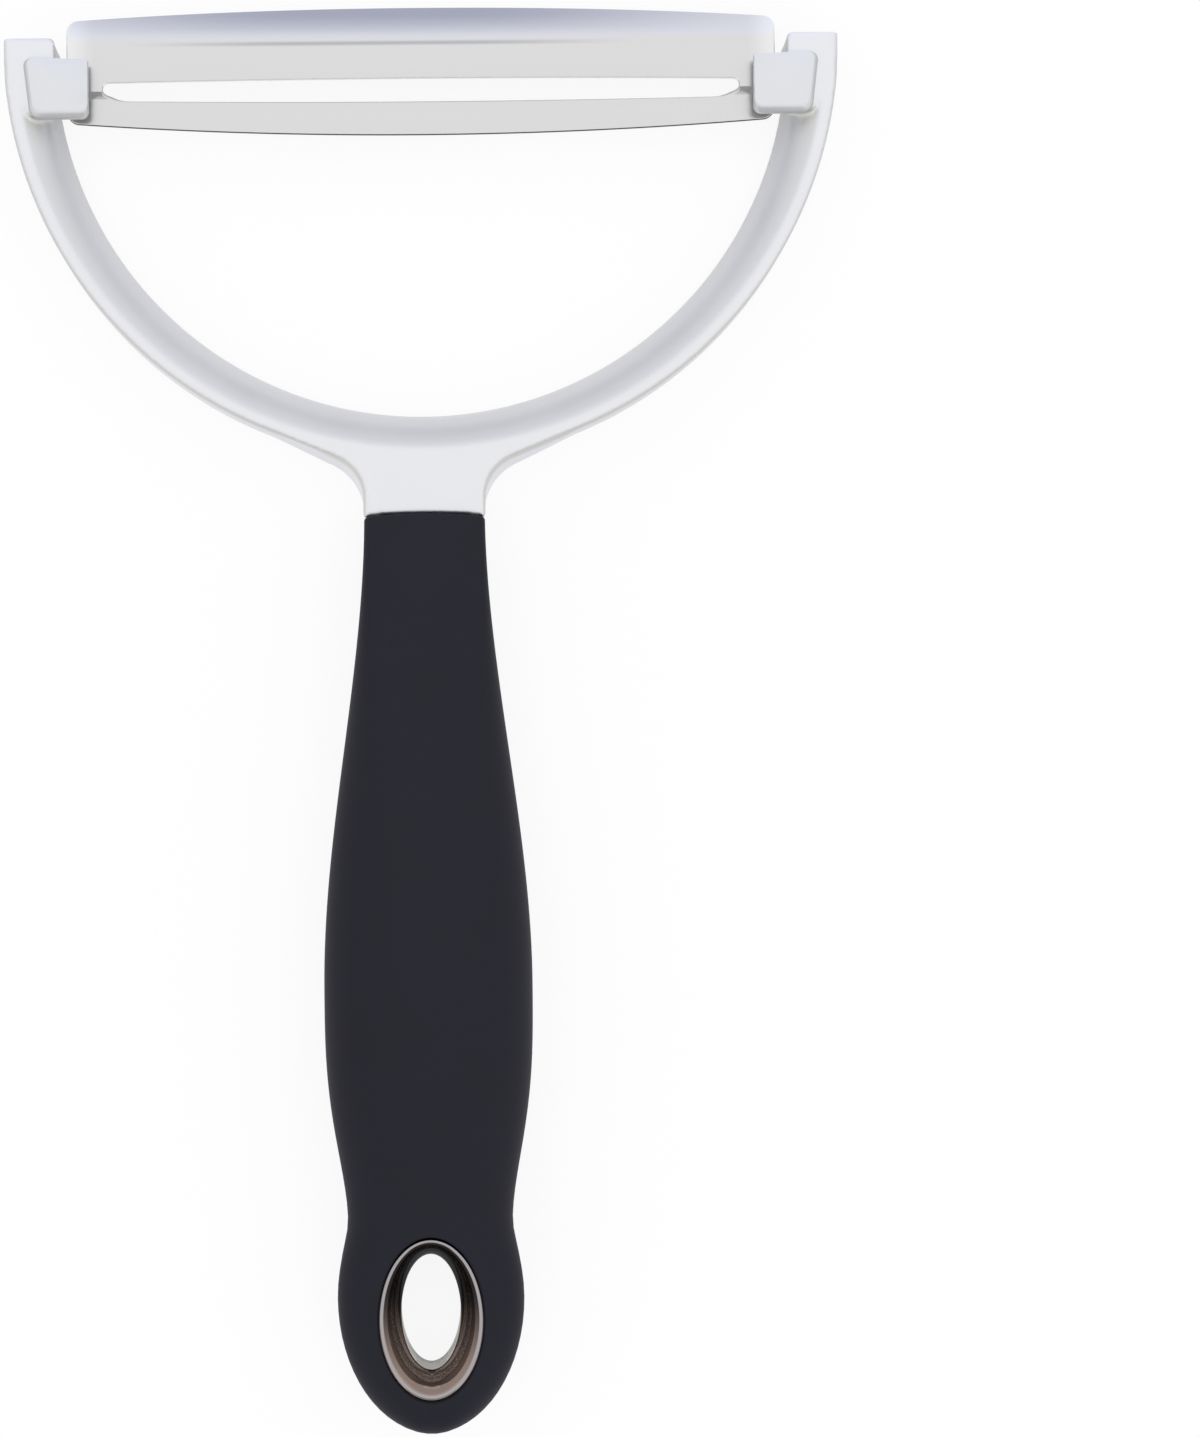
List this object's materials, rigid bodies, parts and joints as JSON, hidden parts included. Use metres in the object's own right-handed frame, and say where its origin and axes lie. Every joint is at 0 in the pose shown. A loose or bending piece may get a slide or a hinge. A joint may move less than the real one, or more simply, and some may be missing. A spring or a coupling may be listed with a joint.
{
  "type": "y-peeler",
  "caption": "Y-shaped vegetable peeler: an extra-wide slotted blade swivels between the ears of a cast half-ring frame, on a soft-grip handle with an oval hanging eyelet.",
  "frame": {"origin": "on the table below the middle of the peeler's box, with the peeler lying on its back", "axes": "+X along the blade, to the right seen from the front; +Y along the handle towards the blade; +Z out of the front"},
  "size_m": [0.1226, 0.2102, 0.019],
  "materials": {
    "satin_metal": "satin",
    "stainless": "brushed",
    "pivot_steel": "turned",
    "hard_plastic": "matte",
    "soft_grip": "soft matte",
    "dark_chrome": "dark chrome plating on plastic"
  },
  "bodies": {
    "handle": {"yoke_frame": "satin_metal", "handle_core": "hard_plastic", "grip_sleeve": "soft_grip", "eyelet_front": "dark_chrome", "eyelet_rear": "dark_chrome"},
    "blade": {"blade": "stainless", "left_trunnion": "pivot_steel", "right_trunnion": "pivot_steel"}
  },
  "joints": [
    {"name": "blade_swivel", "type": "hinge", "parent": "handle", "child": "blade", "pos_m": [0, 0.09242, 0.0026], "axis": [1, 0, 0], "range_deg": [-15, 15]}
  ]
}
